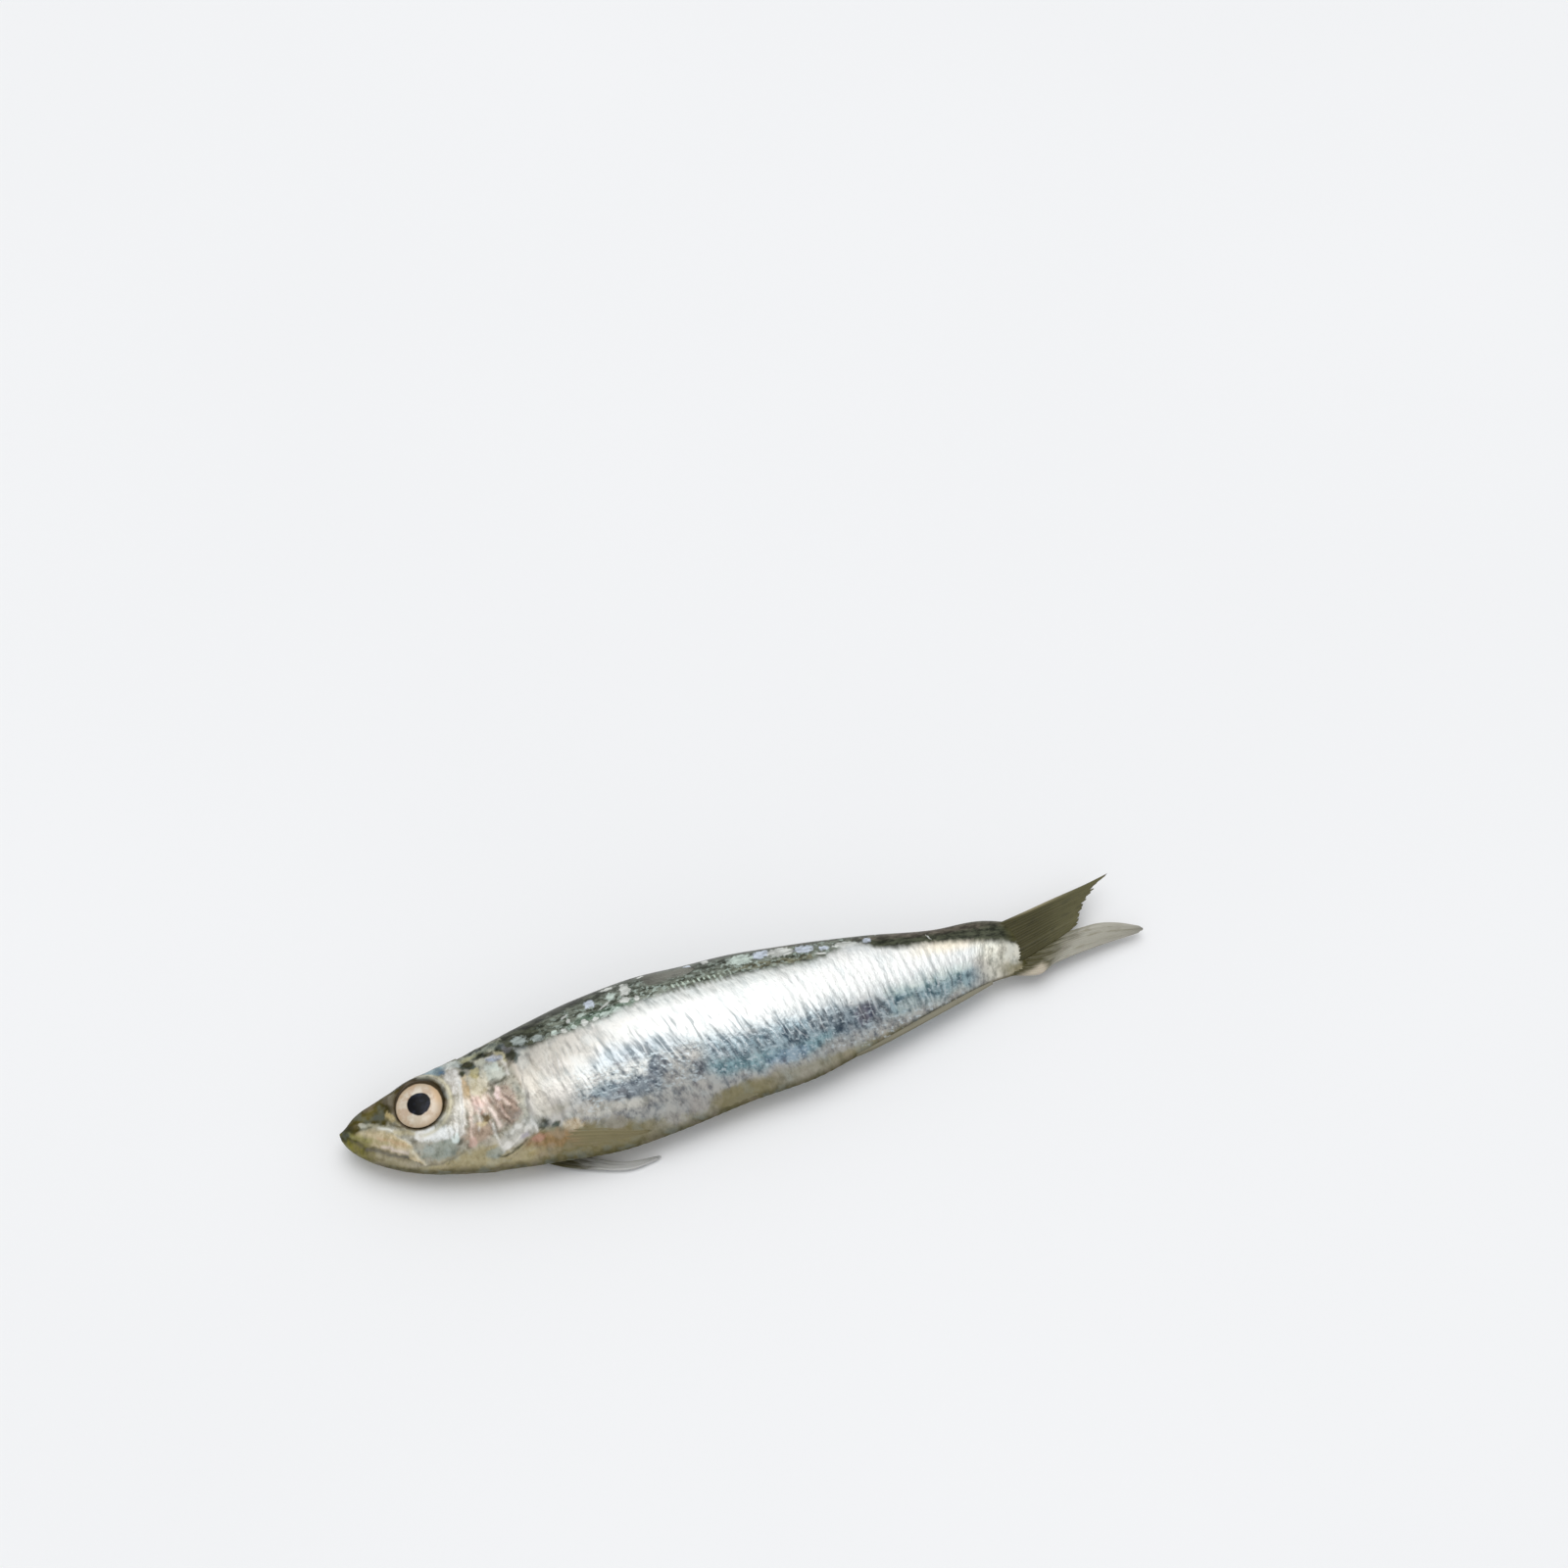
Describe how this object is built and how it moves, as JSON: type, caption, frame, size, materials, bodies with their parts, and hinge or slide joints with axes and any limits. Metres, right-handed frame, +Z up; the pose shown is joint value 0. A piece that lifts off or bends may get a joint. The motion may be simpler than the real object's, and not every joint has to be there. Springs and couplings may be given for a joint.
{
  "type": "whole sardine",
  "caption": "Whole raw sardine lying flat on its side, left flank up, with a slender silvery body, dark back, large round eyes, folded fins and a forked tail.",
  "frame": {"origin": "middle of the bounding box, on the surface that the fish lies on", "axes": "+X from the snout towards the tail, +Y from the belly towards the back, +Z up out of the left flank"},
  "size_m": [0.151, 0.0324, 0.0145],
  "materials": {
    "skin": "wet silvery fish skin, dark olive back, pale beige belly",
    "eye": "wet eyeball, cream iris and black pupil"
  },
  "bodies": {
    "root": {"body": "skin", "left_eye": "eye", "right_eye": "eye"}
  },
  "joints": []
}
